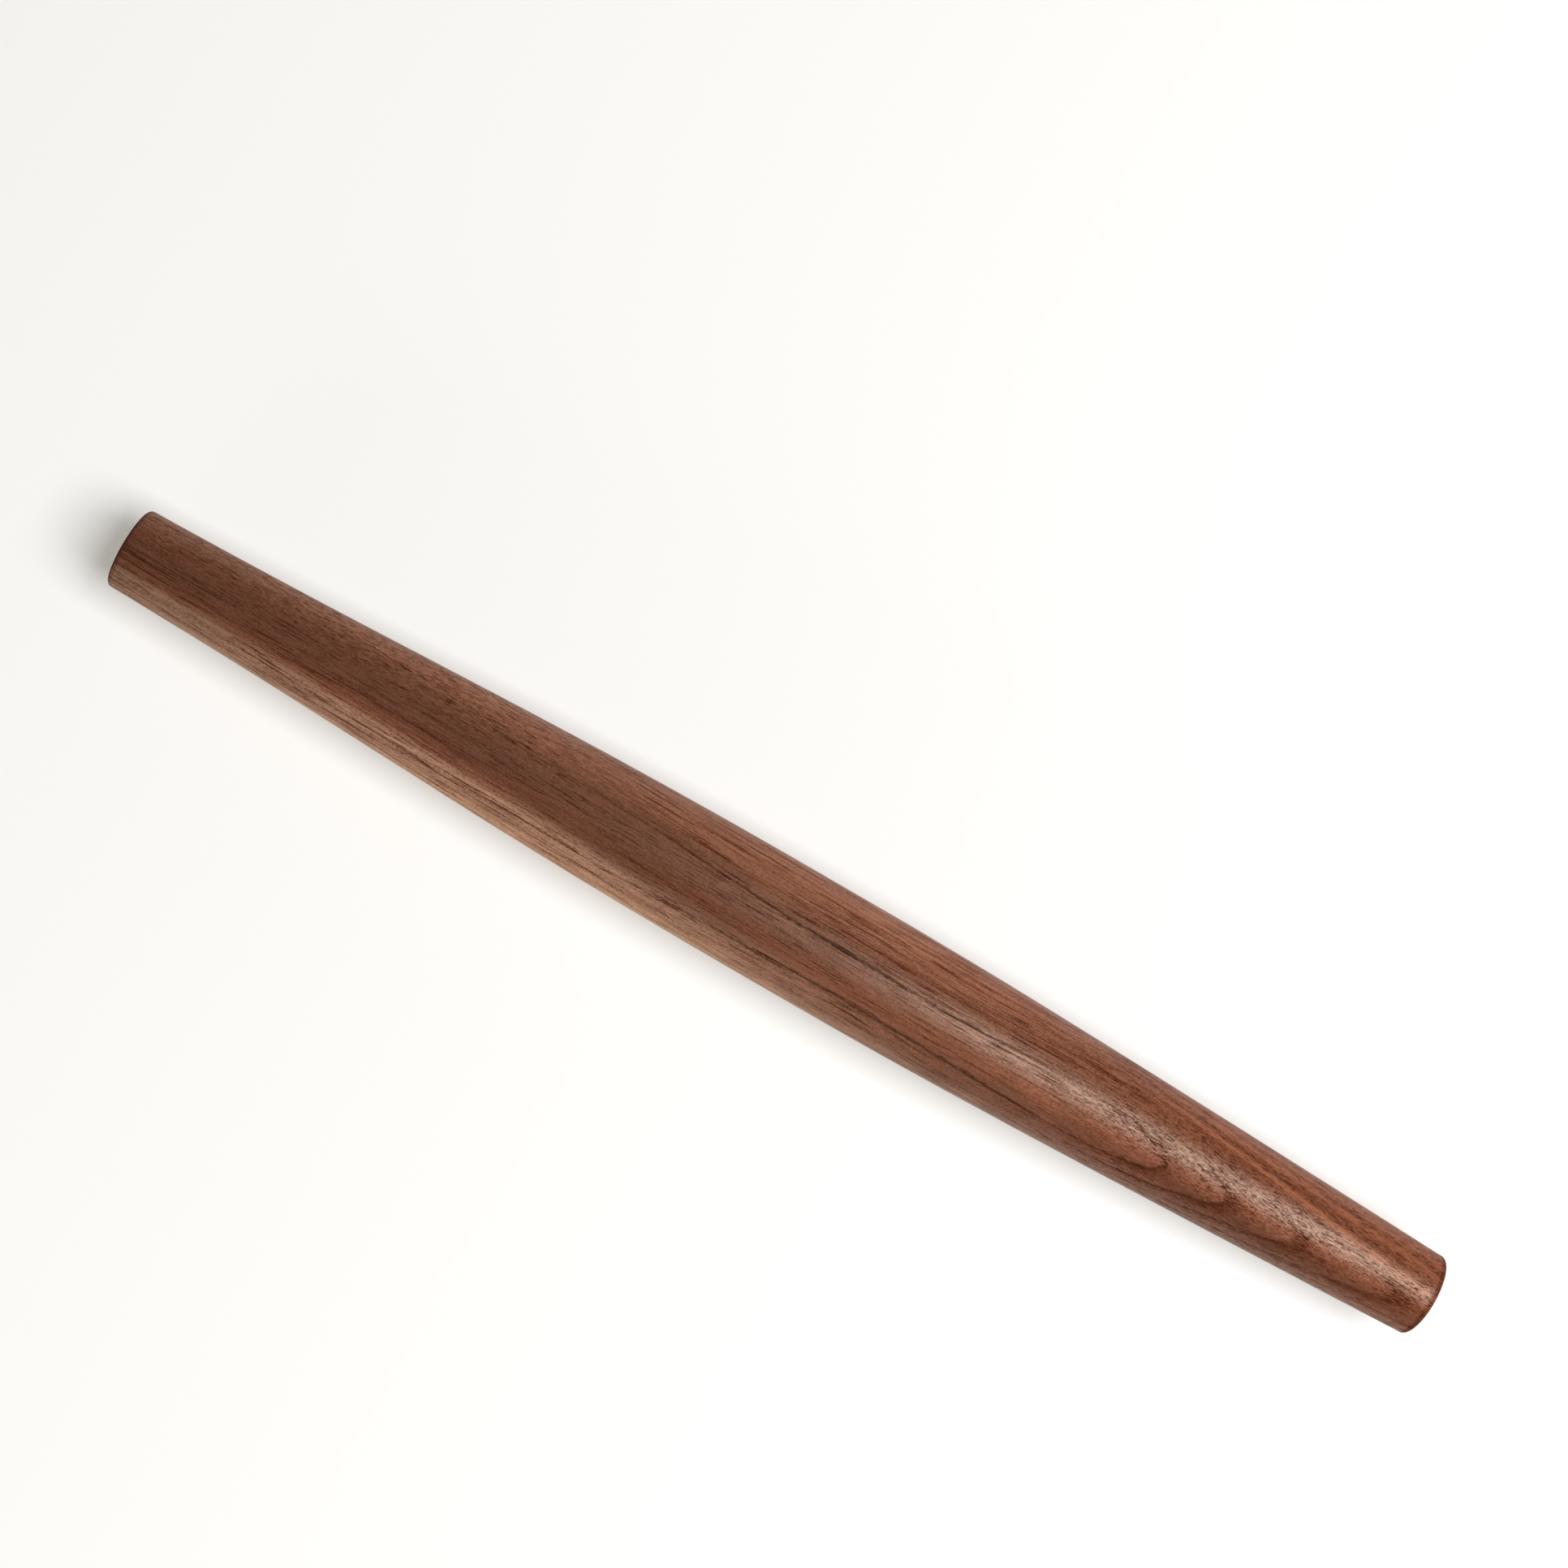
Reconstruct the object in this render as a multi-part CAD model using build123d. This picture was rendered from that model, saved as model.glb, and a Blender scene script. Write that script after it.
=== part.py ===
from build123d import *
import os
from math import radians, tan

# A French rolling pin: one length of solid walnut, turned to a slow double taper, with no handles.
# The frame is in millimetres. The pin's axis lies along X, Z is up, and the origin is the middle of
# the axis. The long taper runs towards -X and the short taper towards +X.

# Length over both end faces
PIN_LENGTH = 520.0

# The barrel is the fullest part, and a short land of it is left straight so that the pin rolls true
BARREL_DIAMETER = 44.2
LAND_LENGTH = 30.0
# The land lies this far to the +X side of the pin's middle, so one taper is longer than the other
LAND_OFFSET = 16.0

# Diameters that the tapers come down to at the end faces, before the rims are rounded
LONG_TAPER_END_DIAMETER = 29.6
SHORT_TAPER_END_DIAMETER = 30.4

# Angles to the axis at which the tapers reach the end faces, in degrees
LONG_TAPER_END_ANGLE = 1.1
SHORT_TAPER_END_ANGLE = 2.25

# How far a taper's curve holds its first direction, and its last one, as shares of the taper's length
LONG_TAPER_HOLD_SHARES = (0.44, 0.41)
SHORT_TAPER_HOLD_SHARES = (0.18, 0.57)

# Rounding of the rim round each end face
RIM_RADIUS = 1.6

BARREL_RADIUS = BARREL_DIAMETER / 2
LONG_END_X = -PIN_LENGTH / 2
SHORT_END_X = PIN_LENGTH / 2
LAND_LONG_SIDE_X = LAND_OFFSET - LAND_LENGTH / 2
LAND_SHORT_SIDE_X = LAND_OFFSET + LAND_LENGTH / 2


def taper_outline(land_x, end_x, end_diameter, end_angle, hold_shares):
    """One cubic curve from the edge of the land to the rim of the end face.

    It leaves the land along the axis, so no ridge shows there, and reaches the rim at the end angle.
    """
    end_radius = end_diameter / 2
    taper_length = end_x - land_x
    land_hold = taper_length * hold_shares[0]
    end_hold = taper_length * hold_shares[1]
    return Bezier(
        (land_x, BARREL_RADIUS),
        (land_x + land_hold, BARREL_RADIUS),
        (end_x - end_hold, end_radius + abs(end_hold) * tan(radians(end_angle))),
        (end_x, end_radius),
    )


def half_outline():
    """The closed outline that is turned: the land, both tapers, both end faces and the axis."""
    long_taper = taper_outline(
        LAND_LONG_SIDE_X,
        LONG_END_X,
        LONG_TAPER_END_DIAMETER,
        LONG_TAPER_END_ANGLE,
        LONG_TAPER_HOLD_SHARES,
    )
    short_taper = taper_outline(
        LAND_SHORT_SIDE_X,
        SHORT_END_X,
        SHORT_TAPER_END_DIAMETER,
        SHORT_TAPER_END_ANGLE,
        SHORT_TAPER_HOLD_SHARES,
    )
    land = Line(long_taper @ 0, short_taper @ 0)
    faces_and_axis = Polyline(long_taper @ 1, (LONG_END_X, 0), (SHORT_END_X, 0), short_taper @ 1)
    return make_face([long_taper, land, short_taper, faces_and_axis])


def turned_pin():
    """The outline turned about the axis, with the rim of each end face rounded."""
    blank = revolve(half_outline(), Axis.X)
    edges_along_axis = blank.edges().group_by(Axis.X)
    rims = edges_along_axis[0] + edges_along_axis[-1]
    return fillet(rims, RIM_RADIUS)


os.makedirs("parts", exist_ok=True)
rolling_pin = turned_pin()
rolling_pin.label = "rolling_pin"
export_step(rolling_pin, "parts/rolling_pin.step")
size = rolling_pin.bounding_box().size
print(f"rolling_pin: {size.X:.2f} x {size.Y:.2f} x {size.Z:.2f} mm, {rolling_pin.volume:.0f} mm3")
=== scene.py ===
# %% [markdown]
# A French rolling pin in oiled walnut
# The object is one length of walnut, turned on a lathe and rubbed with oil. It has no handles and no
# fittings, so everything that the eye enjoys is in two things: a slow double taper, and the wood.
# This lesson loads the solid model as a fixed frame, draws the pin over it as one finer surface, and
# then spends most of its steps on the walnut itself, which is made as a solid block of wood with
# growth layers, pores and fibres that the turned shape cuts through.

# %% Load the frame
from math import radians

import bpy
import numpy as np
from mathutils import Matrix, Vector


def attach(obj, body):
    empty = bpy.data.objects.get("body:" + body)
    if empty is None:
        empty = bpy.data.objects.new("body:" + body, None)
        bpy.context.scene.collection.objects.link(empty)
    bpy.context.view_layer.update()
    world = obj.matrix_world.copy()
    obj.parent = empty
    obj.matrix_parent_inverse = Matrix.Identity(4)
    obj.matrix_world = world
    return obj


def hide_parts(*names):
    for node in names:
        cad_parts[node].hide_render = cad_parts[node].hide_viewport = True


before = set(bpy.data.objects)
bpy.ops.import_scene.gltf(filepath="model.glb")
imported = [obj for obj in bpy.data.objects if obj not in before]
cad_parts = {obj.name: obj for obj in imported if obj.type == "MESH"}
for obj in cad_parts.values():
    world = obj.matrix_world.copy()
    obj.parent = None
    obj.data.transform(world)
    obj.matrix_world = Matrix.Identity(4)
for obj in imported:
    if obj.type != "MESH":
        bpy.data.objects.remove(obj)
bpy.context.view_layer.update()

# %% [markdown]
# The camera
# The picture is taken from about a metre above the table, nearly straight down, with the pin lying
# across the frame from the upper left to the lower right. A camera could be aimed by eye, or with a
# Track To constraint. Here its place, angles and lens come from fitting a pinhole camera to the
# pin's outline, so they are set as plain numbers. Depth of field stays off.

# %% Camera
MM = 0.001
SENSOR_WIDTH_MM = 36.0
LENS_MM = 67.19
CAMERA_PLACE = (-0.0728, 0.0, 1.0142)
CAMERA_DEGREES = (0.7213, -3.5498, 30.0739)

camera_data = bpy.data.cameras.new("overhead_camera")
camera_data.sensor_width = SENSOR_WIDTH_MM
camera_data.lens = LENS_MM
camera = bpy.data.objects.new("overhead_camera", camera_data)
camera.location = CAMERA_PLACE
camera.rotation_euler = [radians(degrees) for degrees in CAMERA_DEGREES]
bpy.context.scene.collection.objects.link(camera)
bpy.context.scene.camera = camera
print("camera above the pin's axis, in metres:", round(camera.location.z, 4))

# %% [markdown]
# The turned outline
# A turner works to a drawing of half the outline: a flat end, a small rounded rim, a long slow
# taper, a short straight land where the barrel is fullest, a shorter taper and the other end. The
# solid model has the same outline. A mesh could be revolved with a Screw modifier, but an outline
# written as arrays gives full control over where the points go, so they crowd together on the small
# rims and spread out on the tapers.

# %% Sizes of the outline
# the radii are a hair under the solid's, so that the skin stays within the solid's box
HAIR = 0.005 * MM
HALF_LENGTH = 260.0 * MM
BARREL_RADIUS = 22.1 * MM - HAIR
LAND_FROM = 1.0 * MM
LAND_TO = 31.0 * MM
RIM_RADIUS = 1.6 * MM

# an end's radius is the one that it has before its rim is rounded, and its angle is the taper's to
# the axis; the shares say how far the taper's curve holds its first direction, and its last one
LONG_END = {
    "x": -HALF_LENGTH,
    "radius": 14.8 * MM - HAIR,
    "angle": radians(1.1),
    "hold_shares": (0.44, 0.41),
}
SHORT_END = {
    "x": HALF_LENGTH,
    "radius": 15.2 * MM - HAIR,
    "angle": radians(2.25),
    "hold_shares": (0.18, 0.57),
}
print("long taper mm:", (LAND_FROM + HALF_LENGTH) / MM, "short taper mm:", (HALF_LENGTH - LAND_TO) / MM)

# %% A taper
CURVE_STEPS = 4001


def taper(land_x, end, count):
    """Points (x, radius) from the land to where the rim starts.

    A cubic Bezier curve: its four corner points weighted with (1-t)^3, 3(1-t)^2 t, 3(1-t)t^2 and
    t^3, read at even steps of x and cut off where the rim's rounding takes over.
    """
    length = end["x"] - land_x
    land_hold, end_hold = [length * share for share in end["hold_shares"]]
    corners = np.array(
        [
            (land_x, BARREL_RADIUS),
            (land_x + land_hold, BARREL_RADIUS),
            (end["x"] - end_hold, end["radius"] + abs(end_hold) * np.tan(end["angle"])),
            (end["x"], end["radius"]),
        ]
    )
    t = np.linspace(0.0, 1.0, CURVE_STEPS)[:, None]
    weights = np.hstack([(1 - t) ** 3, 3 * (1 - t) ** 2 * t, 3 * (1 - t) * t**2, t**3])
    curve = weights @ corners
    rim_starts = abs(end["x"]) - RIM_RADIUS * (1 + np.sin(end["angle"]))
    x = np.linspace(land_x, np.sign(end["x"]) * rim_starts, count)
    order = np.argsort(curve[:, 0])
    return np.column_stack([x, np.interp(x, curve[order, 0], curve[order, 1])])


# %% A rim and its end face
def rim_and_face(end, rim_count, face_count):
    """Points (x, radius) round the rim and over the end face to its centre.

    The rim is an arc of the rim's radius that touches both the taper and the flat face. The face
    goes straight to the axis.
    """
    side = np.sign(end["x"])
    centre_x = end["x"] - side * RIM_RADIUS
    centre_radius = end["radius"] + RIM_RADIUS * (np.tan(end["angle"]) - 1 / np.cos(end["angle"]))
    turn = np.linspace(end["angle"], np.pi / 2, rim_count)
    arc = np.column_stack(
        [centre_x + side * RIM_RADIUS * np.sin(turn), centre_radius + RIM_RADIUS * np.cos(turn)]
    )
    inwards = np.linspace(centre_radius, 0.0, face_count + 1)[1:]
    face = np.column_stack([np.full(face_count, end["x"]), inwards])
    return np.concatenate([arc[1:], face])


# %% The whole outline
LONG_TAPER_POINTS = 205
SHORT_TAPER_POINTS = 185
LAND_POINTS = 25
RIM_POINTS = 11
FACE_POINTS = 12


def half_outline():
    """The outline from the centre of the long end's face to the centre of the short end's."""
    long_taper = taper(LAND_FROM, LONG_END, LONG_TAPER_POINTS)
    short_taper = taper(LAND_TO, SHORT_END, SHORT_TAPER_POINTS)
    land_x = np.linspace(LAND_FROM, LAND_TO, LAND_POINTS)[1:-1]
    land = np.column_stack([land_x, np.full(len(land_x), BARREL_RADIUS)])
    long_face = rim_and_face(LONG_END, RIM_POINTS, FACE_POINTS)
    short_face = rim_and_face(SHORT_END, RIM_POINTS, FACE_POINTS)
    long_side = np.concatenate([long_taper, long_face])[::-1]
    return np.concatenate([long_side, land, short_taper, short_face])


outline = half_outline()
print("outline points:", len(outline), "fullest radius mm:", outline[:, 1].max() / MM)

# %% [markdown]
# From the outline to the surface
# Turning the outline about the axis gives a surface of two parameters: how far along the outline, and
# how far round the pin. The centre of each end face is one point, shared by a fan of triangles, so
# the skin is closed with no seam. The same two parameters are the surface's flat map, which a baked
# picture of the wood can use: along the outline one way, round the pin the other way.

# %% Turn the outline
AROUND = 192


def turned_places(points, around):
    """The vertices of a surface of revolution about the x axis, ring by ring, and then its two poles.

    A vertex at angle a is (x, -r sin a, r cos a), with a counted from the top of the pin.
    """
    rings = points[1:-1]
    angle = np.arange(around) * 2 * np.pi / around
    x = np.repeat(rings[:, 0], around)
    y = -(rings[:, 1][:, None] * np.sin(angle)).ravel()
    z = (rings[:, 1][:, None] * np.cos(angle)).ravel()
    poles = [(points[0, 0], 0, 0), (points[-1, 0], 0, 0)]
    return np.concatenate([np.column_stack([x, y, z]), poles])


places = turned_places(outline, AROUND)
print("vertices:", len(places))

# %% Join the rings
def turned_faces(ring_count, around):
    """The vertex numbers of each quad between two rings, and of each triangle round a pole.

    All faces look outwards.
    """
    ring = np.arange(ring_count - 1)[:, None] * around
    here = np.arange(around)[None, :]
    after = (here + 1) % around
    quads = np.stack([ring + here, ring + after, ring + around + after, ring + around + here], -1)
    here, after = here.ravel(), after.ravel()
    first_pole = np.full(around, ring_count * around)
    last_ring = (ring_count - 1) * around
    first_fan = np.column_stack([after, here, first_pole])
    last_fan = np.column_stack([last_ring + here, last_ring + after, first_pole + 1])
    return quads.reshape(-1, 4), np.concatenate([first_fan, last_fan])


quads, fans = turned_faces(len(outline) - 2, AROUND)
print("quads:", len(quads), "triangles at the poles:", len(fans))

# %% The flat map
SAME_PLACE = 1e-9
FACE_MAP_WEIGHT = 3.0


def flat_map(points, around):
    """The place on the flat map of every corner of every face, in the order of the faces.

    u is the length along the outline as a share of all of it, where the end faces count three
    times so that they get room, and v is the angle round the pin as a share of a full turn.
    """
    step = np.linalg.norm(np.diff(points, axis=0), axis=1)
    on_face = np.abs(np.diff(points[:, 0])) < SAME_PLACE
    u = np.concatenate([[0], np.cumsum(step * np.where(on_face, FACE_MAP_WEIGHT, 1.0))])
    u /= u[-1]
    row, column = np.meshgrid(np.arange(1, len(points) - 2), np.arange(around), indexing="ij")
    quad_u = np.stack([u[row], u[row], u[row + 1], u[row + 1]], -1)
    quad_v = np.stack([column, column + 1, column + 1, column], -1)
    column = np.arange(around)
    first_u = np.tile([u[1], u[1], u[0]], around)
    first_v = np.column_stack([column + 1, column, column + 0.5])
    last_u = np.tile([u[-2], u[-2], u[-1]], around)
    last_v = np.column_stack([column, column + 1, column + 0.5])
    all_u = np.concatenate([quad_u.ravel(), first_u, last_u])
    all_v = np.concatenate([quad_v.ravel(), first_v.ravel(), last_v.ravel()])
    return np.column_stack([all_u, all_v / around])


corner_map = flat_map(outline, AROUND)
print("corners on the flat map:", len(corner_map))

# %% Build the mesh
def closed_piece(name, vertices, four_sided, three_sided, map_places):
    """An object with a mesh of quads and triangles, and with its flat map."""
    corners = np.concatenate([four_sided.ravel(), three_sided.ravel()])
    sizes = np.concatenate([np.full(len(four_sided), 4), np.full(len(three_sided), 3)])
    mesh = bpy.data.meshes.new(name)
    mesh.vertices.add(len(vertices))
    mesh.vertices.foreach_set("co", vertices.ravel())
    mesh.loops.add(len(corners))
    mesh.loops.foreach_set("vertex_index", corners)
    mesh.polygons.add(len(sizes))
    mesh.polygons.foreach_set("loop_start", np.concatenate([[0], np.cumsum(sizes)[:-1]]))
    mesh.polygons.foreach_set("use_smooth", np.ones(len(sizes), bool))
    mesh.update(calc_edges=True)
    mesh.validate()
    mesh.uv_layers.new(name="OFBake").uv.foreach_set("vector", map_places.ravel())
    piece = bpy.data.objects.new(name, mesh)
    bpy.context.scene.collection.objects.link(piece)
    return piece


pin = closed_piece("turned_walnut_pin", places, quads, fans, corner_map)
print("triangles:", 2 * len(quads) + len(fans))

# %% [markdown]
# End grain
# Where the wood is cut across its fibres, the open ends of the fibres drink more oil and turn
# darker. That happens on the end faces and on the rounded rims. How far a spot is cut across the
# grain is how far its outward direction leans to the axis, so it is worked out from the outline and
# kept on the mesh as an attribute that the material reads.

# %% Measure the lean of the surface
def keep_end_grain(piece, points, around):
    """Per vertex, the share of the outward direction that lies along the axis, from 0 to 1.

    It is the change of radius along the outline over the length of that step.
    """
    step = np.gradient(points, axis=0)
    lean = np.abs(step[:, 1]) / np.linalg.norm(step, axis=1)
    lean[np.abs(points[:, 0]) > HALF_LENGTH - SAME_PLACE] = 1.0
    lean_shares = np.concatenate([np.repeat(lean[1:-1], around), [1.0, 1.0]])
    field = piece.data.attributes.new("end_grain", "FLOAT", "POINT")
    field.data.foreach_set("value", lean_shares)
    return lean_shares


lean_shares = keep_end_grain(pin, outline, AROUND)
print("mean end grain share:", float(lean_shares.mean()))

# %% [markdown]
# Small helpers for the material
# A wood material needs many small sums. Nodes could be placed and wired by hand in the shader editor,
# but with this many of them a script is easier to read and to change. Each helper makes one kind of
# node in the tree that is being built and returns its output, so that a formula can be read from left
# to right in the steps that follow.

# %% Start the walnut
walnut = bpy.data.materials.new("oiled_walnut")
walnut.use_nodes = True
tree = walnut.node_tree
tree.nodes.clear()


def put(socket, value):
    """Links a value that comes from a node, or writes a plain one."""
    if isinstance(value, bpy.types.NodeSocket):
        tree.links.new(value, socket)
    else:
        socket.default_value = value


def made_node(kind, *values):
    """A new node of one kind, with its first inputs filled in."""
    made = tree.nodes.new(kind)
    for socket, value in zip(made.inputs, values):
        put(socket, value)
    return made


def tell(what):
    """Prints how large the wood has grown after a step."""
    print(f"{what}: {len(tree.nodes)} nodes so far")


# %% Sums
def sums(operation, *values):
    """One arithmetic step on one or two numbers."""
    made = made_node("ShaderNodeMath", *values)
    made.operation = operation
    return made.outputs[0]


def chain(operation, values):
    """The same step again and again: the first with the second, the result with the third."""
    result = values[0]
    for value in values[1:]:
        result = sums(operation, result, value)
    return result


def add(*values):
    """The sum of all the numbers."""
    return chain("ADD", values)


def times(*values):
    """The product of all the numbers."""
    return chain("MULTIPLY", values)


def larger(*values):
    """The largest of all the numbers."""
    return chain("MAXIMUM", values)


def less(first, second):
    """The first number less the second."""
    return sums("SUBTRACT", first, second)


def cut_by(share, weight=1.0):
    """What is left of one when a weighted share is taken off: 1 - weight * share."""
    return less(1.0, times(share, weight))


def raised_by(share, weight):
    """One with a weighted share on top: 1 + weight * share."""
    return add(1.0, times(share, weight))


def mixed(share, first, second):
    """The first number where the share is 0 and the second where it is 1."""
    return add(first, times(share, less(second, first)))


# %% Fades
NONE_TO_ALL = (0.0, 1.0)


def between(value, span, levels=NONE_TO_ALL, ease="SMOOTHSTEP"):
    """Carries a value from a span to two levels, softly, and stops at both ends.

    With t the way along the span, held from 0 to 1, the result is the first level plus the step
    between the levels times t * t * (3 - 2 t).
    """
    made = tree.nodes.new("ShaderNodeMapRange")
    made.interpolation_type = ease
    made.clamp = True
    sockets = ("Value", "From Min", "From Max", "To Min", "To Max")
    for socket, number in zip(sockets, (value, *span, *levels)):
        put(made.inputs[socket], number)
    return made.outputs["Result"]


def ramp(value, span, levels=NONE_TO_ALL):
    """The same in a straight line: the first level plus the step between the levels times t."""
    return between(value, span, levels, "LINEAR")


# %% Places, clouds and colours
NOISE_MIDDLE = 0.5
# how many finer layers of noise lie on the first one
SMOOTH = 0.0
SIMPLE = 1.0
RICH = 2.0
# the numbers of the sockets that a mix of colours uses
FIRST_COLOUR = 6
SECOND_COLOUR = 7
MIXED_COLOUR = 2


def place(x, y, z):
    """Joins three numbers into one place."""
    return made_node("ShaderNodeCombineXYZ", x, y, z).outputs[0]


def cloud(at, detail=RICH):
    """Soft noise about 0, from about -0.5 to 0.5. Its blobs are about one unit across."""
    made = tree.nodes.new("ShaderNodeTexNoise")
    put(made.inputs["Vector"], at)
    made.inputs["Scale"].default_value = 1.0
    made.inputs["Detail"].default_value = detail
    return less(made.outputs["Fac"], NOISE_MIDDLE)


def mix_colour(share, first, second, blend="MIX"):
    """The first colour where the share is 0 and the second, or their product, where it is 1."""
    made = tree.nodes.new("ShaderNodeMix")
    made.data_type = "RGBA"
    made.blend_type = blend
    made.clamp_result = False
    put(made.inputs["Factor"], share)
    put(made.inputs[FIRST_COLOUR], first)
    put(made.inputs[SECOND_COLOUR], second)
    return made.outputs[MIXED_COLOUR]


# %% Curves drawn through points
def drawn_curve(value, points, span, levels, straight=False):
    """Reads a curve that is drawn through a few given points.

    The points are in real units. The span and the levels are the edges of the drawing, which goes
    from 0 to 1 in the node. Outside its end points the curve stays level, because otherwise it runs
    off steeply there.
    """
    made = tree.nodes.new("ShaderNodeFloatCurve")
    line = made.mapping.curves[0]
    (low, high), (bottom, top) = span, levels
    scaled = [((x - low) / (high - low), (y - bottom) / (top - bottom)) for x, y in points]
    line.points[0].location, line.points[1].location = scaled[0], scaled[-1]
    for spot in scaled[1:-1]:
        line.points.new(*spot)
    for point in line.points:
        point.handle_type = "VECTOR" if straight else "AUTO"
    made.mapping.extend = "HORIZONTAL"
    made.mapping.update()
    put(made.inputs["Value"], ramp(value, span))
    return add(times(made.outputs["Value"], top - bottom), bottom)


# %% [markdown]
# The block of wood
# A plank is a pile of growth layers, one for each year. The turned shape cuts through them, and
# every figure on the pin follows from that: tongues where the taper runs out through the layers, long
# lines where they lie along it. A picture wrapped round the pin could not do this, so the layers are
# made as a field in space. Three numbers say where a spot is in the wood, all in millimetres: how
# far along the pin, towards the short end; how high, towards the tree's middle; and how far across,
# towards the near side. The layers are turned a little about the axis, as the plank was on the
# lathe, and that turn grows along the pin.

# %% Where a spot is in the wood
TURN_AT_MIDDLE = radians(12.1)
TURN_PER_MM = radians(0.026)

coordinates = tree.nodes.new("ShaderNodeTexCoord")
in_mm = tree.nodes.new("ShaderNodeVectorMath")
in_mm.operation = "SCALE"
put(in_mm.inputs[0], coordinates.outputs["Object"])
put(in_mm.inputs["Scale"], 1 / MM)
split = made_node("ShaderNodeSeparateXYZ", in_mm.outputs[0])
along, side, up = split.outputs["X"], split.outputs["Y"], split.outputs["Z"]

turn = add(times(along, TURN_PER_MM), TURN_AT_MIDDLE)
turn_cos, turn_sin = sums("COSINE", turn), sums("SINE", turn)
height = less(times(up, turn_cos), times(side, turn_sin))
across = times(add(times(side, turn_cos), times(up, turn_sin)), -1.0)
tell("place in the wood")

# %% [markdown]
# Growth layers
# The layers bend round the middle of the tree, which lies on the upper side here, and they dip and rise
# along the plank. The height of one of them, the first dark line, is drawn through a few points. Every
# spot's depth is counted downwards from that line. Slow noise makes the layers waver. The alternative, a
# wave texture, gives rings that are all alike.

# %% Depth below the first dark line
PIN_SPAN = (-262, 262)
FIRST_LINE_LEVELS = (10, 27)
FIRST_LINE = [
    (-260, 12.0), (-200, 13.1), (-140, 15.2), (-100, 16.9), (-60, 18.4), (-20, 20.0), (20, 20.7),
    (60, 20.4), (100, 18.9), (125, 18.3), (145, 18.8), (165, 20.5), (185, 22.0), (205, 23.3),
    (230, 24.7), (260, 25.5),
]
TREE_RADIUS = 83.0
# a waver is the length, height and width of its bends, and how far it moves a layer
SLOW_WAVER = (45, 9, 9, 0.8)
QUICK_WAVER = (9, 3, 3, 0.28)
FRIZZ = (3, 0.5, 0.5, 0.6)


def wavered(length, high, wide, reach):
    """Noise in the block of wood that moves a layer up and down by its reach."""
    at = place(times(along, 1 / length), times(height, 1 / high), times(across, 1 / wide))
    return times(cloud(at, SIMPLE), reach)


line_height = drawn_curve(along, FIRST_LINE, PIN_SPAN, FIRST_LINE_LEVELS)
bend = times(across, across, 1 / (2 * TREE_RADIUS))
waver = add(wavered(*SLOW_WAVER), wavered(*QUICK_WAVER))
depth = add(less(add(line_height, bend), height), waver)
tell("growth layers")

# %% [markdown]
# Years
# Some years are thicker than others, so a second curve turns the depth into a count of years. Its
# first points are the places of lines that can be told apart on the real wood, and the others go on
# in the same rhythm. The whole part of the count is the year, and the rest is the season in it. A
# fine frizz keeps the lines from looking ruled.

# %% Count the years
YEARS_SPAN = (-6, 52)
YEARS_LEVELS = (-2.1, 17.5)
YEARS = [
    (-6, -2.1), (-2.8, -1), (0, 0), (3.2, 1), (6.1, 2), (9.55, 3), (12.6, 4), (15.6, 5), (18.2, 6),
    (21.6, 7), (24.4, 8), (27.0, 9), (30.3, 10), (33.0, 11), (36.4, 12), (39.2, 13), (42.0, 14),
    (52, 17.5),
]
# how dark a year is, from its start to the next one's
YEAR_SHADE = [
    (0, 0.75), (0.04, 1.0), (0.12, 0.8), (0.3, 0.46), (0.55, 0.22), (0.8, 0.07), (0.9, 0.06), (1, 0.75),
]
frizz = wavered(*FRIZZ)
years = drawn_curve(add(depth, frizz), YEARS, YEARS_SPAN, YEARS_LEVELS, straight=True)
year = sums("FLOOR", years)
season = less(years, year)
year_shade = drawn_curve(season, YEAR_SHADE, NONE_TO_ALL, NONE_TO_ALL, straight=True)
tell("years")

# %% [markdown]
# Regions of the pin
# A real plank isn't the same all over. The heart is dark and quiet on the long taper, the near flank is
# pale, tongues stand on the short taper, and a few lines are clearer than the rest. A painted mask could
# mark such parts, but it would have to be a picture. Here a region is a handful of fades along, across
# or in depth, given in millimetres. A fade rises from 0 at its first number to 1 at its second, so one
# that counts down closes what another one opens.

# %% Regions
def region(fades):
    """How much of a spot is in a region, from 0 to 1: the product of all its fades."""
    ways = {"along": along, "across": across, "depth": depth}
    return times(*[between(ways[way], span) for way, spans in fades.items() for span in spans])


TONGUES = {"along": [(105, 145)], "across": [(-4, 0)]}
FAR_FLANK = {"along": [(125, 165)], "across": [(-4, -8)]}
DARK_HEART = {"along": [(20, -90)], "across": [(8, 3)]}

end_attribute = tree.nodes.new("ShaderNodeAttribute")
end_attribute.attribute_name = "end_grain"
end_grain = end_attribute.outputs["Fac"]
tongues = region(TONGUES)
far_flank = region(FAR_FLANK)
heart = times(region(DARK_HEART), cut_by(end_grain))
tell("regions")

# %% [markdown]
# Lines that come and go
# Each year starts with a dark, open band. Such a line fades in and out along the plank, so it is
# weighted with slow noise that differs from year to year. Three lines are clear for a long way on
# the real pin: the first one over the barrel, another that is deeper in the layers, and one on the
# far side. They are held up by regions of their own. Lines are strong among the tongues, and hardly
# there in the heart and on the far flank of the short taper.

# %% Clear lines
FIRST_LINE_START = {"along": [(-120, -70)]}
FIRST_LINE_GROWTH = {"along": [(-45, -5)]}
FIRST_LINE_START_SHARE = 0.8
FIRST_LINE_GROWTH_SHARE = 0.2
FIRST_LINE_END = {"along": [(112, 85)], "depth": [(2.0, 1.2)]}
SECOND_LINE = {"along": [(-60, -30)], "depth": [(5.2, 6.0), (9.0, 8.0)]}
FAR_LINE = {"along": [(15, 45), (125, 95)], "across": [(-8, -11)], "depth": [(1.6, 2.4), (5.0, 4.2)]}

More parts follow.
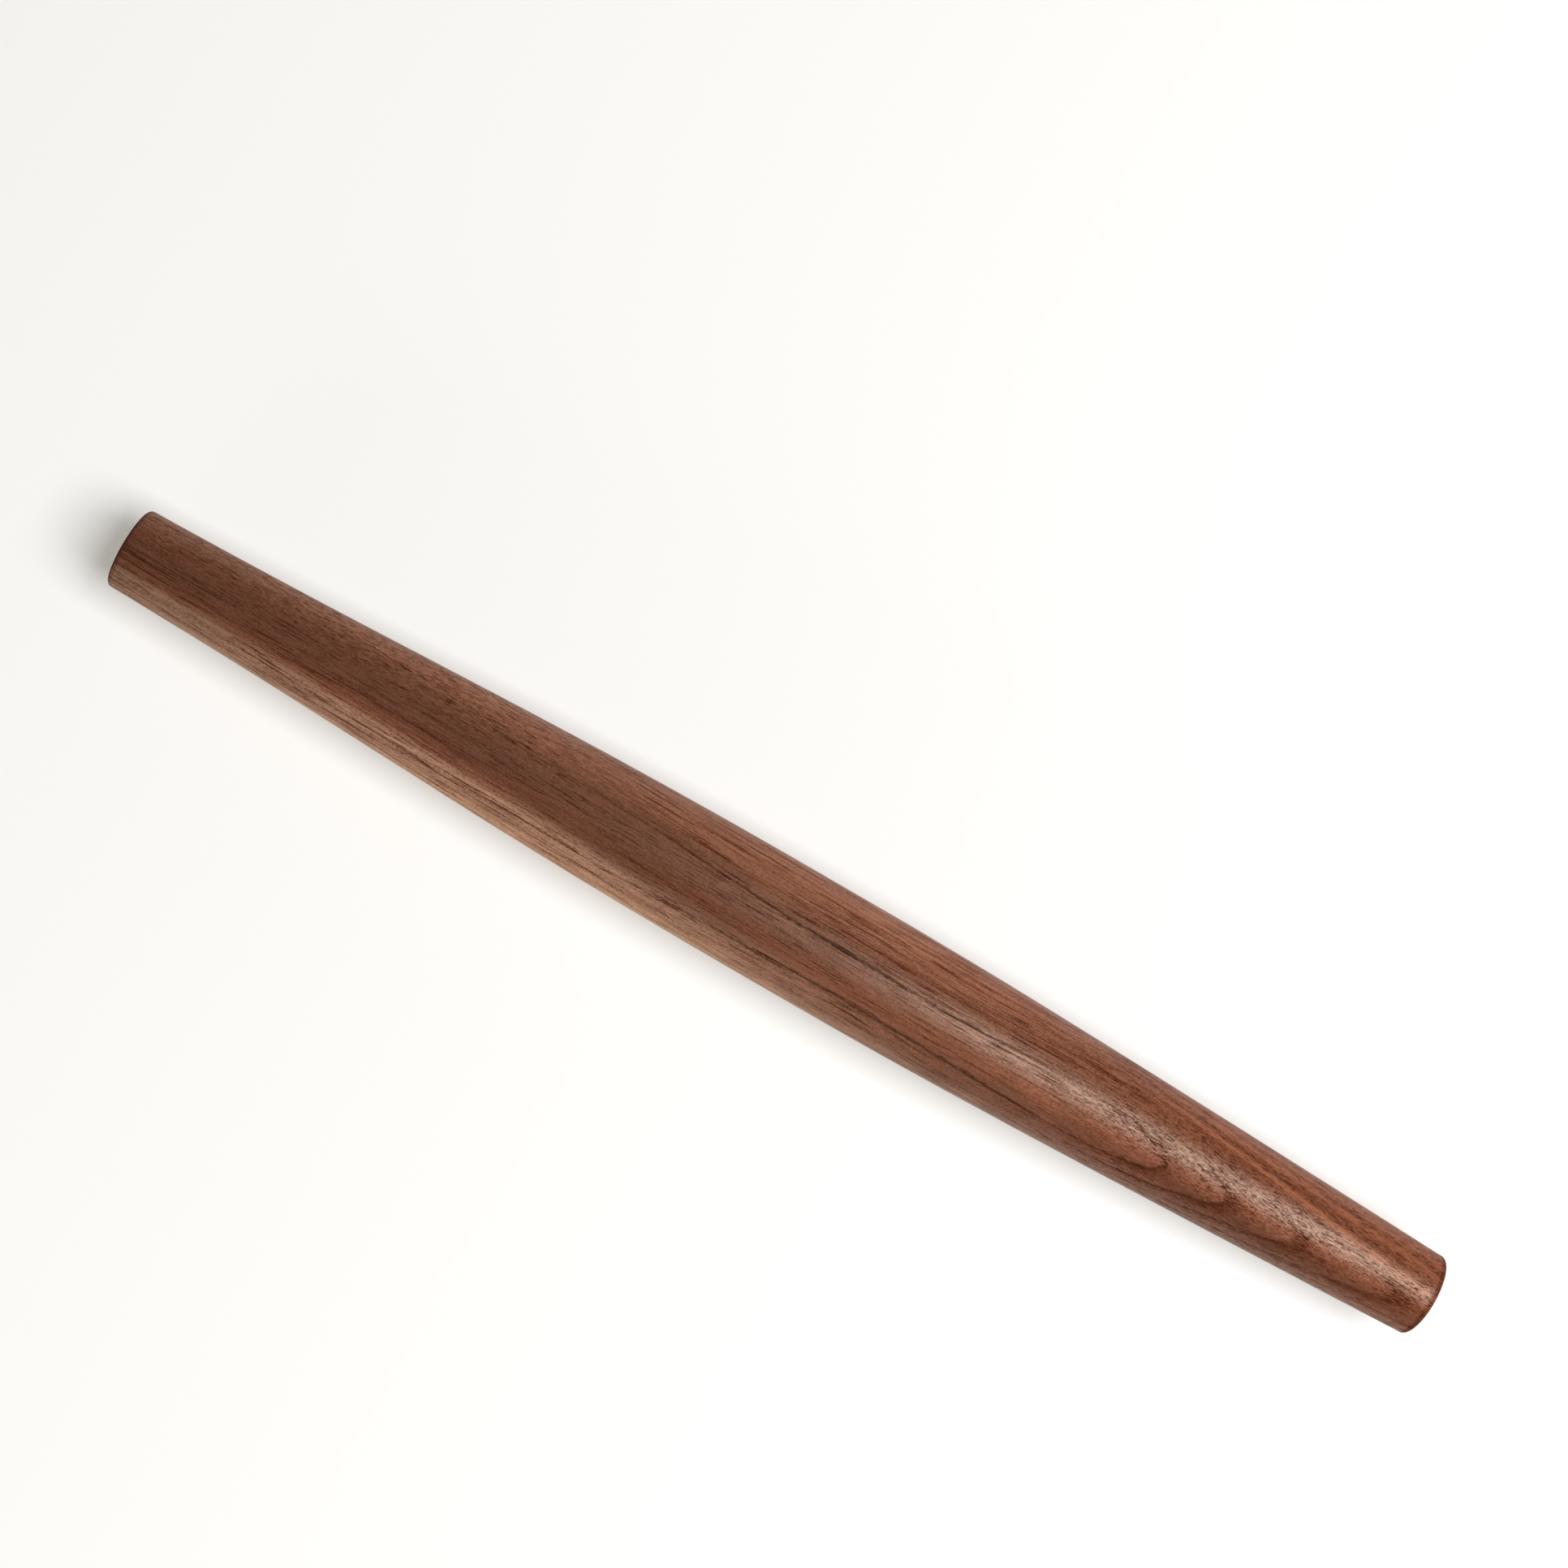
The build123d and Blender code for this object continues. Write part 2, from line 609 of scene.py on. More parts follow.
first_clear = times(
    add(
        times(region(FIRST_LINE_START), FIRST_LINE_START_SHARE),
        times(region(FIRST_LINE_GROWTH), FIRST_LINE_GROWTH_SHARE),
    ),
    region(FIRST_LINE_END),
)
second_clear = region(SECOND_LINE)
far_clear = region(FAR_LINE)
tell("clear lines")

# %% How strong a line is
# the noise under a line: its length and width, and how far apart two years lie in it
MOOD_LENGTH = 50
MOOD_WIDTH = 20
MOOD_YEAR_STEP = 7.3
MOOD_SPAN = (-0.2, 0.15)
MOOD_SHARES = (0.35, 1.0)
FIRST_CLEAR_SHARE = 0.9
SECOND_CLEAR_SHARE = 0.6
FAR_CLEAR_SHARE = 0.9
SHORT_END_SPAN = (90, 140)
SHORT_END_LINE_SHARES = (0.85, 1.1)
TONGUE_LINE_GAIN = 0.5
FLANK_LINE_LOSS = 0.8
HEART_LINE_LOSS = 0.75

mood_place = place(
    times(along, 1 / MOOD_LENGTH), times(year, MOOD_YEAR_STEP), times(across, 1 / MOOD_WIDTH)
)
line_mood = larger(
    between(cloud(mood_place), MOOD_SPAN, MOOD_SHARES),
    times(first_clear, FIRST_CLEAR_SHARE),
    times(second_clear, SECOND_CLEAR_SHARE),
    times(far_clear, FAR_CLEAR_SHARE),
)
line_gain = add(
    between(along, SHORT_END_SPAN, SHORT_END_LINE_SHARES), times(tongues, TONGUE_LINE_GAIN)
)
line_mood = times(line_mood, line_gain, cut_by(far_flank, FLANK_LINE_LOSS))
tell("strength of the lines")

# %% What the lines leave on the wood
# the first line has a dark core just after the year begins, and the darkest part of any line is a
# row of open vessels
CORE_YEAR = 0.06
CORE_WIDTH_IN_YEARS = (0.10, 0.03)
VESSEL_SHADE_SPAN = (0.6, 0.95)
# smoke is a greyer brown that hangs about the clear lines
FIRST_SMOKE_SHARE = 0.35
SECOND_SMOKE_SHARE = 0.9
SECOND_SMOKE_END = {"along": [(120, 85)]}
# some years are lighter as a whole
YEAR_MOOD_LENGTH = 160
YEAR_MOOD_STEP = 3.7
YEAR_MOOD_PLACE = 0.5

from_core = sums("ABSOLUTE", less(years, CORE_YEAR))
dark_core = times(first_clear, between(from_core, CORE_WIDTH_IN_YEARS))
vessel_row = times(between(year_shade, VESSEL_SHADE_SPAN), line_mood, cut_by(heart))
year_shade = times(year_shade, line_mood, cut_by(heart, HEART_LINE_LOSS))
second_smoke = times(second_clear, region(SECOND_SMOKE_END), SECOND_SMOKE_SHARE)
smoke = times(year_shade, larger(times(first_clear, FIRST_SMOKE_SHARE), second_smoke))
year_mood_place = place(times(along, 1 / YEAR_MOOD_LENGTH), times(year, YEAR_MOOD_STEP), YEAR_MOOD_PLACE)
year_mood = cloud(year_mood_place, SMOOTH)
tell("shade of the years")

# %% [markdown]
# Streaks and fibres
# Between the lines the wood is drawn out into streaks along the grain. Broad streaks are bands of
# colour from slow changes in the tree. Fine ones are bundles of fibres. All follow the layers, so
# they are noise read in wood coordinates that are squeezed along the plank, and not in plain object
# coordinates. Where the cut runs with the grain, round the middle of the pin and on its flanks, the
# streaks are long; elsewhere, towards the ends, they are short.

# %% Where the streaks are long
# on the barrel, in the heart, on the near side, and on the far side as far as the short end
BARREL_RUN = {"along": [(-120, -50), (135, 95)]}
HEART_RUN = {"along": [(-40, -100)], "across": [(-9, -4)]}
NEAR_RUN = {"along": [(120, 60)], "across": [(4, 9)]}
FAR_RUN_ALONG = {"along": [(-60, 20)]}
FAR_RUN_ACROSS = (-10, -14)
# on the short taper the far run begins this much nearer to the edge
FAR_RUN_SHIFT_SPAN = (100, 160)
FAR_RUN_SHIFT = (0.0, 5.0)
# the top and the near side of the short taper, where the layers are cut short
SHORT_CUT = {"along": [(95, 140)], "across": [(-13, -9)]}

far_across = add(across, between(along, FAR_RUN_SHIFT_SPAN, FAR_RUN_SHIFT))
far_run = times(between(far_across, FAR_RUN_ACROSS), region(FAR_RUN_ALONG))
long_run = larger(region(BARREL_RUN), region(HEART_RUN), region(NEAR_RUN), far_run)
short_cut = region(SHORT_CUT)
tell("runs of the grain")

# %% Streaks
# a streak's length, thickness and width in millimetres, and a shift that gives it noise of its own
BROAD_STREAK = (120, 2.6, 4.5, 3.0)
SHORT_STREAK = (12, 1.1, 1.3, 11.0)
LONG_STREAK = (45, 1.1, 1.3, 17.0)
SHORT_FIBRE = (4, 0.42, 0.44, 23.0)
LONG_FIBRE = (16, 0.42, 0.44, 27.0)
SPECKLE = (1.0, 0.32, 0.34, 31.0)


def in_wood(length, thick, wide, shift):
    """A place in the wood, scaled so that a cloud is this long, thick and wide in millimetres."""
    return place(add(times(along, 1 / length), shift), times(depth, 1 / thick), times(across, 1 / wide))


def by_run(short_kind, long_kind):
    """Noise with short blobs where the streaks are short and long ones where they are long."""
    return mixed(long_run, cloud(in_wood(*short_kind)), cloud(in_wood(*long_kind)))


broad = cloud(in_wood(*BROAD_STREAK))
medium = by_run(SHORT_STREAK, LONG_STREAK)
fine = by_run(SHORT_FIBRE, LONG_FIBRE)
speckle = cloud(in_wood(*SPECKLE), SIMPLE)
tell("streaks")

# %% [markdown]
# Dark dashes
# The upper end of a fine noise, cut off by a threshold, gives thin dark dashes with light wood
# between them, which is how the vessels look where the cut runs along them. They come in crowds, and
# a little more at the start of a year.

# %% Dashes
SHORT_DASH = (5, 0.42, 0.46, 43.0)
LONG_DASH = (24, 0.42, 0.46, 47.0)
DASH_CROWD = (40, 1.6, 2.4, 51.0)
DASH_CROWD_WEIGHT = 0.3
DASH_ROW_WEIGHT = 0.03
DASH_THRESHOLD = (0.05, 0.15)

dash_crowd = times(cloud(in_wood(*DASH_CROWD), SIMPLE), DASH_CROWD_WEIGHT)
dash_noise = add(by_run(SHORT_DASH, LONG_DASH), dash_crowd, times(vessel_row, DASH_ROW_WEIGHT))
dashes = between(dash_noise, DASH_THRESHOLD)
tell("dashes")

# %% [markdown]
# Pores
# Walnut's pores are open tubes along the grain, wide enough to see. Where the surface cuts them at
# a slant they show as short dark dashes, and where it runs along them as long fine lines. Each pore
# is a long, thin cell core of a Voronoi texture. A slow wander lets the tubes dip in and out of the
# surface. There are more and wider pores at the start of each year, and in the tongues they keep to
# those rows.

# %% One kind of pore
WANDER_DOWN = (14, 6, 6)
WANDER_SIDE = (22, 6, 6)
WANDER_DOWN_SHIFT = 40
WANDER_SIDE_SHIFT = 60
SIDE_WANDER_SHARE = 0.7
# the soft edge of a pore, as shares of its reach from the core
PORE_EDGE_SHARES = (1.3, 0.65)


def pores(length, thick, wide, shift, wander, reach):
    """How much of a spot is a pore, from 0 to 1: 1 near a cell's core, 0 past this reach from it."""
    down = times(cloud(in_wood(*WANDER_DOWN, shift + WANDER_DOWN_SHIFT), SIMPLE), wander)
    sideways = times(
        cloud(in_wood(*WANDER_SIDE, shift + WANDER_SIDE_SHIFT), SIMPLE), SIDE_WANDER_SHARE * wander
    )
    made = tree.nodes.new("ShaderNodeTexVoronoi")
    made.feature = "F1"
    made.inputs["Scale"].default_value = 1.0
    at = place(
        add(times(along, 1 / length), shift),
        times(add(depth, down), 1 / thick),
        times(add(across, sideways), 1 / wide),
    )
    put(made.inputs["Vector"], at)
    return between(made.outputs["Distance"], [times(reach, share) for share in PORE_EDGE_SHARES])


# %% Pore fields
# a pore's length, thickness, width, shift and wander
LONG_PORE = (17, 0.5, 0.52, 5.0, 0.5)
SHORT_PORE = (4.0, 0.46, 0.48, 9.0, 0.6)
PORE_CROWD = (50, 1.6, 3.0, 71.0)
PORE_CROWD_WEIGHT = 1.6
# how open the wood is: everywhere, at the start of a year, and what the tongues change in both
OPEN_SHARE = 0.5
ROW_OPEN_SHARE = 0.5
TONGUE_OPEN_LOSS = 0.25
TONGUE_ROW_GAIN = 0.4
OPEN_SPAN = (0.1, 1.1)
LONG_PORE_REACH = (0.16, 0.34)
SHORT_PORE_REACH = (0.18, 0.37)
SHORT_PORES_LONG_TAPER = {"along": [(-90, -150)], "across": [(-3, -9)]}
SHORT_PORES_SHORT_TAPER = {"along": [(95, 130)], "across": [(6, -1), (-11, -8)]}
SHORT_PORE_SHARES = (0.25, 1.0)

row_open = times(vessel_row, add(ROW_OPEN_SHARE, times(tongues, TONGUE_ROW_GAIN)))
plain_open = less(OPEN_SHARE, times(tongues, TONGUE_OPEN_LOSS))
pore_crowd = times(cloud(in_wood(*PORE_CROWD), SIMPLE), PORE_CROWD_WEIGHT)
open_share = add(row_open, plain_open, pore_crowd)
long_pores = pores(*LONG_PORE, ramp(open_share, OPEN_SPAN, LONG_PORE_REACH))
short_zone = larger(region(SHORT_PORES_LONG_TAPER), region(SHORT_PORES_SHORT_TAPER))
short_pores = times(
    pores(*SHORT_PORE, ramp(open_share, OPEN_SPAN, SHORT_PORE_REACH)),
    mixed(short_zone, *SHORT_PORE_SHARES),
)
pore = larger(long_pores, short_pores)
tell("pores")

# %% [markdown]
# How light the wood is
# The long taper has a dark heart with paler wood on both sides of it, and the short one is light on top
# and dark on the near side. Such slow changes need no texture: three curves along the pin, drawn through
# listed points, say how light the wood is on the top, on the far side and on the near side. They are
# blended across the pin, and the line where the near side begins has a curve of its own. On top of that,
# the flanks of the long taper and the barrel, and more strongly a thin strip along the near edge, are
# lightened with painted light, which stands in for the light that the white sheet throws back onto them.

# %% Lightness along the pin
TOP_LEVELS = (0.5, 1.6)
TOP_LIGHTNESS = [
    (-260, 0.52), (-190, 0.58), (-135, 0.60), (-80, 0.65), (-27, 0.75), (27, 0.87), (80, 1.14),
    (135, 1.22), (190, 1.32), (235, 1.27), (260, 1.42),
]
SIDE_LEVELS = (0.5, 1.5)
FAR_LIGHTNESS = [
    (-260, 0.75), (-190, 0.77), (-135, 0.86), (-80, 0.80), (-27, 0.94), (27, 1.06), (80, 1.04),
    (135, 0.96), (190, 0.94), (260, 0.96),
]
NEAR_LIGHTNESS = [
    (-260, 0.82), (-190, 1.09), (-135, 1.31), (-80, 1.33), (-27, 1.17), (27, 0.88), (80, 0.70),
    (135, 0.68), (190, 0.62), (260, 0.78),
]
top_light = drawn_curve(along, TOP_LIGHTNESS, PIN_SPAN, TOP_LEVELS)
far_light = drawn_curve(along, FAR_LIGHTNESS, PIN_SPAN, SIDE_LEVELS)
near_light = drawn_curve(along, NEAR_LIGHTNESS, PIN_SPAN, SIDE_LEVELS)
tell("lightness along the pin")

# %% Lightness across the pin
NEAR_EDGE_LEVELS = (0, 12)
NEAR_EDGE = [
    (-260, 5.5), (-190, 5.0), (-135, 5.2), (-80, 6.5), (-27, 9.0), (27, 4.8), (80, 4.4), (135, 3.2),
    (190, 2.2), (260, 1.6),
]
NEAR_EDGE_SOFTNESS = (-3.6, 3.6)
FAR_EDGE = (-4, -14)
past_near_edge = less(across, drawn_curve(along, NEAR_EDGE, PIN_SPAN, NEAR_EDGE_LEVELS))
near_share = between(past_near_edge, NEAR_EDGE_SOFTNESS)
lightness_and_painted_light = mixed(between(across, FAR_EDGE), mixed(near_share, top_light, near_light), far_light)

# painted light: both flanks of the long taper and the barrel are lightened a little, standing in for the
# light that the white sheet throws up onto them
PAINTED_FAR_EDGE_LIGHT = {"along": [(120, 40)], "across": [(-12.5, -16)]}
PAINTED_NEAR_EDGE_LIGHT = {"along": [(120, 40)], "across": [(14, 17)]}
PAINTED_EDGE_LIGHT_GAIN = 0.18
painted_edge_light = add(region(PAINTED_FAR_EDGE_LIGHT), region(PAINTED_NEAR_EDGE_LIGHT))
lightness_and_painted_light = times(lightness_and_painted_light, raised_by(painted_edge_light, PAINTED_EDGE_LIGHT_GAIN))

# painted light: a thin strip along the near edge is lightened, standing in for the light that the white
# sheet throws back onto that edge
RIM_LIGHT_LEVELS = (0, 20)
RIM_LIGHT_LINE = [(-260, 12.2), (-139, 15.5), (28, 16.5), (139, 14.2), (260, 10.6)]
RIM_LIGHT_SOFTNESS = (-2.0, 1.0)
RIM_LIGHT_SPAN = (-215, -130)
PAINTED_RIM_LIGHT_GAINS = (0.38, 0.2)
past_rim_light_line = less(across, drawn_curve(along, RIM_LIGHT_LINE, PIN_SPAN, RIM_LIGHT_LEVELS))
painted_rim_light = between(past_rim_light_line, RIM_LIGHT_SOFTNESS)
lightness_and_painted_light = times(lightness_and_painted_light, raised_by(painted_rim_light, between(along, RIM_LIGHT_SPAN, PAINTED_RIM_LIGHT_GAINS)))
tell("lightness across the pin")

# %% [markdown]
# The figure
# Streaks, fibres, speckle and dashes together make the figure. Sanded walnut isn't equally lively
# all over: the flanks and the run on top of the barrel are, the tongues are calmer, and the figure
# gets coarser towards the short end. On the far flank of the short taper a few bands of light and
# dark wood lie in the layers, and they are drawn as a curve over the depth.

# %% Figure
TO_SHORT_TAPER = (60, 140)
FROM_LAND = (40, 140)
COARSE_SHARES = (0.28, 0.42)
SHORT_CUT_COARSE_SHARE = 0.3
FINE_WEIGHTS = (1.5, 1.75)
SPECKLE_WEIGHT = 1.7
SHORT_SPECKLE = {"along": [TO_SHORT_TAPER], "across": [(6, -2)]}
SHORT_SPECKLE_GAIN = 0.6
DASH_MEAN = 0.2
DASH_WEIGHT = 0.7
SHORT_CUT_DASH_WEIGHT = 0.5

coarse_share = mixed(short_cut, between(along, FROM_LAND, COARSE_SHARES), SHORT_CUT_COARSE_SHARE)
speckle_weight = add(SPECKLE_WEIGHT, times(region(SHORT_SPECKLE), SHORT_SPECKLE_GAIN))
dash_weight = mixed(short_cut, DASH_WEIGHT, SHORT_CUT_DASH_WEIGHT)
figure = add(
    times(medium, coarse_share),
    times(fine, between(along, TO_SHORT_TAPER, FINE_WEIGHTS)),
    times(speckle, speckle_weight),
    times(less(DASH_MEAN, dashes), dash_weight),
)
tell("figure")

# %% Liveliness
NEAR_FLANK_ACROSS = (5, 10)
NEAR_FLANK_GAIN = 0.6
FAR_FLANK_ACROSS = (-10, -15)
FAR_FLANK_GAIN = 0.45
BARREL_TOP = {"along": [(-60, 0)], "across": [(6, 2), (-14, -10)]}
BARREL_TOP_GAIN = 0.3
TONGUE_CALM = 0.25
LONG_TAPER_SPAN = (-110, -20)
LONG_TAPER_LIVELINESS = (0.84, 0.68)
SHORT_TAPER_LIVELINESS = (0.0, 0.1)

liveliness = add(
    cut_by(tongues, TONGUE_CALM),
    times(between(across, NEAR_FLANK_ACROSS), NEAR_FLANK_GAIN),
    times(between(across, FAR_FLANK_ACROSS), FAR_FLANK_GAIN),
    times(region(BARREL_TOP), BARREL_TOP_GAIN),
)
lively_along = add(
    between(along, LONG_TAPER_SPAN, LONG_TAPER_LIVELINESS),
    between(along, TO_SHORT_TAPER, SHORT_TAPER_LIVELINESS),
)
figure = times(figure, liveliness, lively_along)
tell("liveliness")

# %% Bands of the far flank
BANDS_SPAN = (7, 23)
BANDS_LEVELS = (-0.7, 0.7)
FLANK_BANDS = [
    (7.5, 0.0), (9.3, -0.18), (10.3, 0.22), (11.2, 0.6), (12.0, 0.0), (13.3, -0.24), (14.6, -0.1),
    (16.2, 0.32), (17.6, 0.06), (18.8, -0.2), (20.4, 0.12), (22.5, 0.0),
]
LIGHT_STRIP = {"along": [(175, 235)], "across": [(-12, -9), (-1, -5)]}
LIGHT_STRIP_GAIN = 0.22

flank_bands = add(
    times(drawn_curve(depth, FLANK_BANDS, BANDS_SPAN, BANDS_LEVELS), far_flank),
    times(region(LIGHT_STRIP), LIGHT_STRIP_GAIN),
)
tell("bands of the far flank")

# %% [markdown]
# Tone
# All that makes a spot lighter or darker than the wood round it is added up in one number, the tone,
# which is about 1 in plain wood. It is kept apart from the slow lightness above, because hue and
# shine both follow it: dark streaks are redder and duller than light ones.

# %% Tone
PLAIN_TONE = 1.24
YEAR_TONE = -0.4
SLOW_TONES = (0.1, 0.16)
CORE_TONE = -0.45
LEAST_TONE = 0.3

slow_tone = times(add(broad, year_mood), between(along, FROM_LAND, SLOW_TONES))
tone = add(
    PLAIN_TONE, times(year_shade, YEAR_TONE), slow_tone, figure, flank_bands, times(dark_core, CORE_TONE)
)
tell("tone")

# %% [markdown]
# Colour
# Oiled walnut runs from chocolate to a warm orange brown. The browns below all have the same amount of
# red and differ in green and blue only, so mixing them turns the hue and leaves the lightness to the
# tone. A red and a golden brown are mixed by slow streaks. Light streaks turn paler, the flanks of the
# long taper tan, the far flank of the short taper more orange, dark streaks deep red, and the wood about
# the clear lines smoky. The strip along the near edge turns gold, which is painted light: the warm light
# that the sheet throws back onto that edge.

# %% Walnut colours
RED_BROWN = (0.185, 0.0570, 0.0265, 1.0)
GOLDEN_BROWN = (0.185, 0.0645, 0.0320, 1.0)
PALE_BROWN = (0.185, 0.0760, 0.0435, 1.0)
TAN_BROWN = (0.185, 0.0980, 0.0615, 1.0)
# the warm colour of the painted light on the strip along the near edge
RIM_LIGHT_GOLD = (0.185, 0.1000, 0.0460, 1.0)
SMOKE_BROWN = (0.185, 0.0930, 0.0610, 1.0)
DEEP_BROWN = (0.185, 0.0470, 0.0185, 1.0)
FLAME_BROWN = (0.185, 0.0515, 0.0205, 1.0)

REDNESS_SPAN = (-120, 180)
REDNESS_SHARES = (0.5, 0.8)
BROAD_REDNESS = 1.2
MEDIUM_REDNESS = 0.7

redness = add(
    between(along, REDNESS_SPAN, REDNESS_SHARES),
    times(broad, BROAD_REDNESS),
    times(medium, MEDIUM_REDNESS),
)
hue = mix_colour(ramp(redness, NONE_TO_ALL), GOLDEN_BROWN, RED_BROWN)
tell("body colour")

# %% Hue follows the tone and the region
PALE_TONES = (0.95, 1.75)
PALE_SHARES = (0.0, 0.8)
TAN_NEAR = {"along": [(80, -40)], "across": [(3, 9)]}
TAN_NEAR_SHARE = 0.9
TAN_FAR = {"along": [(120, -20)], "across": [(-6, -12)]}
TAN_FAR_SHARE = 0.28
FLAME = {"along": [(125, 165)], "across": [(-6, -12)]}
FLAME_SHARE = 0.5
DEEP_TONES = (1.15, 0.5)
FLANK_DEEP_LOSS = 0.7
RIM_LIGHT_GOLD_SPAN = (40, 120)
RIM_LIGHT_GOLD_SHARES = (0.45, 0.3)

tan_share = add(times(region(TAN_NEAR), TAN_NEAR_SHARE), times(region(TAN_FAR), TAN_FAR_SHARE))
deep_share = times(ramp(tone, DEEP_TONES), cut_by(far_flank, FLANK_DEEP_LOSS))
painted_rim_light_gold_share = times(painted_rim_light, between(along, RIM_LIGHT_GOLD_SPAN, RIM_LIGHT_GOLD_SHARES))
for share, brown in (
    (ramp(tone, PALE_TONES, PALE_SHARES), PALE_BROWN),
    (tan_share, TAN_BROWN),
    (times(region(FLAME), FLAME_SHARE), FLAME_BROWN),
    (deep_share, DEEP_BROWN),
    (smoke, SMOKE_BROWN),
    (painted_rim_light_gold_share, RIM_LIGHT_GOLD),
):
    hue = mix_colour(share, hue, brown)
tell("hue")

# %% Wood with its tone, and the pores in it
PORE_BROWN = (0.046, 0.0118, 0.0048, 1.0)
LONG_PORE_INK_SHARE = 0.7
SHORT_PORE_INK_SHARES = (0.88, 0.98)

toned = tree.nodes.new("ShaderNodeVectorMath")
toned.operation = "SCALE"
put(toned.inputs[0], hue)
put(toned.inputs["Scale"], times(larger(tone, LEAST_TONE), lightness_and_painted_light))
short_ink = times(short_pores, between(along, TO_SHORT_TAPER, SHORT_PORE_INK_SHARES))
pore_ink = larger(times(long_pores, LONG_PORE_INK_SHARE), short_ink)
pored = mix_colour(pore_ink, toned.outputs[0], PORE_BROWN)
tell("pores in the colour")

# %% [markdown]
# Oil in the end grain
# The ends soak up more oil, so they are stained by a factor: on the faces and the rounded rims, as
# the end grain attribute says, and for a millimetre or two of the taper next to them.

# %% Stain the ends
SHORT_SOAK_SPAN = (257.0, 258.5)
SHORT_SOAK_SHARES = (0.0, 0.85)
LONG_SOAK_SPAN = (-257.5, -259.5)
LONG_SOAK_SHARES = (0.0, 0.55)
END_GRAIN_SPAN = (0.15, 0.8)
END_STAIN = (0.50, 0.40, 0.36, 1.0)

end_share = larger(
    between(end_grain, END_GRAIN_SPAN),
    between(along, SHORT_SOAK_SPAN, SHORT_SOAK_SHARES),
    between(along, LONG_SOAK_SPAN, LONG_SOAK_SHARES),
)
oiled = mix_colour(end_share, pored, END_STAIN, "MULTIPLY")
tell("end grain")

# %% [markdown]
# Sheen
# Oil leaves a satin sheen. Where fibres lie close and pale the surface is smooth and shines, and a
# dark streak, a pore or the end grain is open and hardly does. So the strength of the reflection
# follows the tone. Towards the flanks, which are seen at a flat angle, a plain gloss would lay a
# white haze over the wood that oiled walnut doesn't have, and Layer Weight takes that down.

# %% Roughness
ROUGHNESS = 0.375
FINE_ROUGHNESS = -0.25
MEDIUM_ROUGHNESS = -0.1
DASH_ROUGHNESS = 0.04
PORE_ROUGHNESS = 0.08
END_ROUGHNESS = 0.15

roughness = add(
    ROUGHNESS,
    times(fine, FINE_ROUGHNESS),
    times(medium, MEDIUM_ROUGHNESS),
    times(dashes, DASH_ROUGHNESS),
    times(pore, PORE_ROUGHNESS),
    times(end_share, END_ROUGHNESS),
)
tell("roughness")

# %% Strength of the reflection
SHINE_TONES = (0.5, 1.6)
SHINE_LEVELS = (0.3, 1.45)
PLAIN_SPECULAR = 0.5
PORE_SHINE_LOSS = 0.92
END_SHINE_LOSS = 0.8
EVEN_BLEND = 0.5
HALVED = (1.0, 0.5)
FIRST_FLAT_ANGLES = (0.12, 0.3)
SECOND_FLAT_ANGLES = (0.4, 0.7)
LONG_TAPER_SHINE_SPAN = (-40, 100)
LONG_TAPER_SHINE = (0.62, 1.0)
SHORT_END_SHINE_SPAN = (215, 250)
SHORT_END_SHINE = (1.0, 0.7)

facing = tree.nodes.new("ShaderNodeLayerWeight")
facing.inputs["Blend"].default_value = EVEN_BLEND
specular = times(
    ramp(tone, SHINE_TONES, SHINE_LEVELS),
    cut_by(pore, PORE_SHINE_LOSS),
    cut_by(end_share, END_SHINE_LOSS),
    between(facing.outputs["Facing"], FIRST_FLAT_ANGLES, HALVED),
    between(facing.outputs["Facing"], SECOND_FLAT_ANGLES, HALVED),
    between(along, LONG_TAPER_SHINE_SPAN, LONG_TAPER_SHINE),
    between(along, SHORT_END_SHINE_SPAN, SHORT_END_SHINE),
    PLAIN_SPECULAR,
)
tell("reflection")

# %% [markdown]
# Relief
# Sanding and oil leave pores as small grooves, and the fibres stand up by a few thousandths of a
# millimetre. That is far too little for the mesh, so it is bump only, worked out in millimetres.

# %% Relief
PORE_RELIEF = -0.016
DASH_RELIEF = -0.004
FINE_RELIEF = 0.008
SPECKLE_RELIEF = 0.004

relief = add(
    times(pore, PORE_RELIEF),
    times(dashes, DASH_RELIEF),
    times(fine, FINE_RELIEF),
    times(speckle, SPECKLE_RELIEF),
)
bump = tree.nodes.new("ShaderNodeBump")
bump.inputs["Strength"].default_value = 1.0
bump.inputs["Distance"].default_value = MM
put(bump.inputs["Height"], relief)
tell("relief")

# %% [markdown]
# Put the walnut together
# Rubbed oil soaks into walnut and hardly lies on it, so one Principled shader is enough. A coat layer
# could be laid over it, but it would look like varnish. The oil's index of refraction and the tint
# of its reflection are the same all over, so they are plain values on the shader's own sockets: the
# export drops an index that comes from another node. The strength of the reflection does vary, so
# it is linked, and that variation shows in Blender only.

# %% Shader
OIL_IOR = 1.42
OIL_TINT = (1.0, 0.96, 0.82, 1.0)
WOOD_DIFFUSE_ROUGHNESS = 0.8

surface = tree.nodes.new("ShaderNodeBsdfPrincipled")
output = tree.nodes.new("ShaderNodeOutputMaterial")
put(output.inputs["Surface"], surface.outputs["BSDF"])
for socket, value in (
    ("Base Color", oiled),
    ("Roughness", roughness),
    ("Specular IOR Level", specular),
    ("Normal", bump.outputs["Normal"]),
    ("IOR", OIL_IOR),
    ("Specular Tint", OIL_TINT),
    ("Diffuse Roughness", WOOD_DIFFUSE_ROUGHNESS),
):
    put(surface.inputs[socket], value)
tell("walnut")

# %% [markdown]
# Dress the pin
# The two outlines are only a few thousandths of a millimetre apart, so the solid could wear the
# walnut itself. But its mesh is plain triangles with no flat map, so the finer surface stands for it
# and the solid is hidden. It isn't moved or changed, and it stays in MuJoCo for collision.

